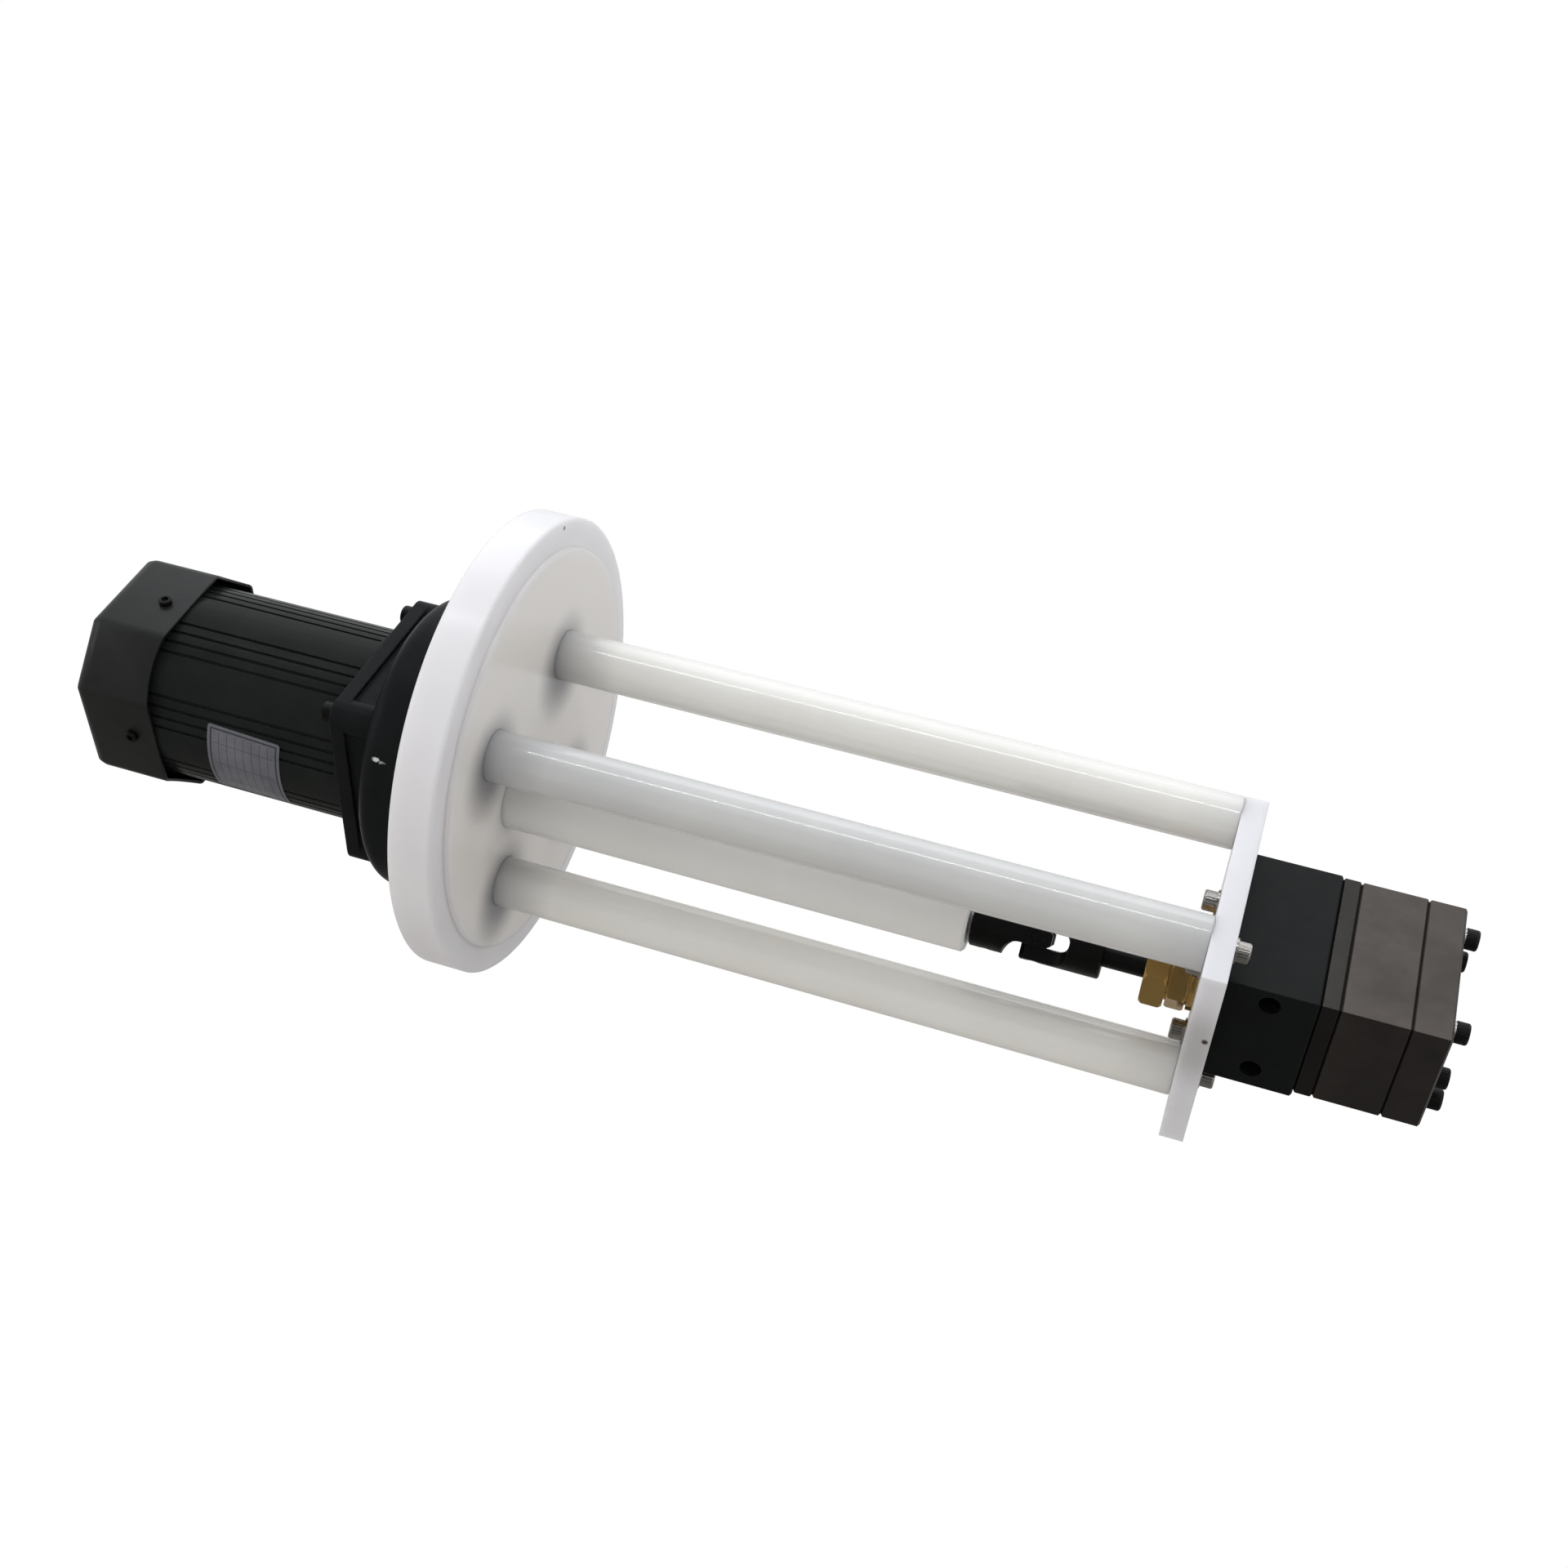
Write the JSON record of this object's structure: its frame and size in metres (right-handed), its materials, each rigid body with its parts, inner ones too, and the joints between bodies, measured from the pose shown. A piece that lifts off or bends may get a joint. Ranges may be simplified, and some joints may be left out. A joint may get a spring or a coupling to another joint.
{
  "type": "immersion gear pump",
  "caption": "Vertical immersion gear pump: a geared motor on a round flange drives a gear pump on an end plate through a long shaft between four plastic rods.",
  "frame": {"origin": "centre of the flange disc, on its seat face", "axes": "+Z along the motor axis, towards the fan cover; +Y from the drive shaft towards the motor axis; the ports open towards -Y"},
  "size_m": [0.2364, 0.2364, 0.6912],
  "materials": {
    "cover_black": "satin powder coat",
    "motor_black": "satin paint over extruded ribs",
    "cast_black": "satin paint over a casting",
    "black_oxide": "black oxide",
    "white_plastic": "milky, slightly translucent, satin",
    "plate_plastic": "milky sheet, sawn edges",
    "stack_steel": "ground, brown oxide film",
    "block_black": "blackened, satin",
    "steel": "turned",
    "stainless": "polished stainless",
    "brass": "turned, light tarnish",
    "bronze": "turned",
    "label": "satin foil, bare",
    "copper": "enamelled wire",
    "fan_plastic": "moulded",
    "packing": "fluoropolymer"
  },
  "bodies": {
    "frame": {"fan_cover": "cover_black", "fan_cover_screws": "black_oxide", "rear_end_shield": "cast_black", "rear_bearing": "steel", "stator_housing": "motor_black", "nameplate": "label", "stator_core": "steel", "windings": "copper", "front_bearing": "steel", "gear_case": "cast_black", "case_screws": "black_oxide", "case_washers": "black_oxide", "intermediate_bushes": "bronze", "upper_output_bearing": "steel", "lower_output_bearing": "steel", "adapter_flange": "cast_black", "mounting_disc": "white_plastic", "support_rod_1": "white_plastic", "support_rod_2": "white_plastic", "support_rod_3": "white_plastic", "support_rod_4": "white_plastic", "sleeve_tube": "white_plastic", "sleeve_bush": "packing", "gland_nut": "brass", "gland_body": "brass", "gland_packing": "packing", "end_plate": "plate_plastic", "plate_screws": "stainless", "plate_washers": "stainless", "rod_screws": "stainless", "rod_washers": "stainless", "drive_block": "block_black", "wear_plate": "stack_steel", "gear_plate": "stack_steel", "cover_plate": "stack_steel", "shaft_bushes": "bronze", "dowel_pins": "steel", "cover_screws": "black_oxide", "cover_washers": "stainless", "jack_screws": "black_oxide"},
    "rotor": {"cooling_fan": "fan_plastic", "rotor_core": "steel", "rotor_shaft": "steel", "rotor_pinion": "steel"},
    "intermediate": {"intermediate_shaft": "steel", "intermediate_gear": "steel"},
    "drive_line": {"output_wheel": "steel", "output_shaft": "steel", "shaft_coupling": "steel", "coupling_set_screws": "black_oxide", "drive_shaft": "steel", "upper_yoke": "black_oxide", "joint_cross": "steel", "lower_yoke": "black_oxide", "yoke_set_screws": "black_oxide", "pump_shaft": "black_oxide", "drive_gear": "steel", "drive_key": "steel"},
    "driven": {"driven_gear": "steel", "driven_shaft": "steel"}
  },
  "joints": [
    {"name": "rotor_spin", "type": "hinge", "parent": "frame", "child": "rotor", "pos_m": [-0.007, -0.007, 0.1], "axis": [0, 0, 1], "continuous": true},
    {"name": "drive_line_spin", "type": "hinge", "parent": "frame", "child": "drive_line", "pos_m": [-0.007, -0.03, 0], "axis": [0, 0, 1], "continuous": true},
    {"name": "intermediate_spin", "type": "hinge", "parent": "frame", "child": "intermediate", "pos_m": [-0.03243, -0.01607, 0.06], "axis": [0, 0, 1], "continuous": true},
    {"name": "driven_gear_spin", "type": "hinge", "parent": "frame", "child": "driven", "pos_m": [-0.007, 0.0025, -0.424], "axis": [0, 0, 1], "continuous": true}
  ],
  "couplings": [
    {"joint": "intermediate_spin", "follows": "rotor_spin", "ratio": -0.5},
    {"joint": "drive_line_spin", "follows": "rotor_spin", "ratio": 0.225},
    {"joint": "driven_gear_spin", "follows": "rotor_spin", "ratio": -0.225}
  ]
}
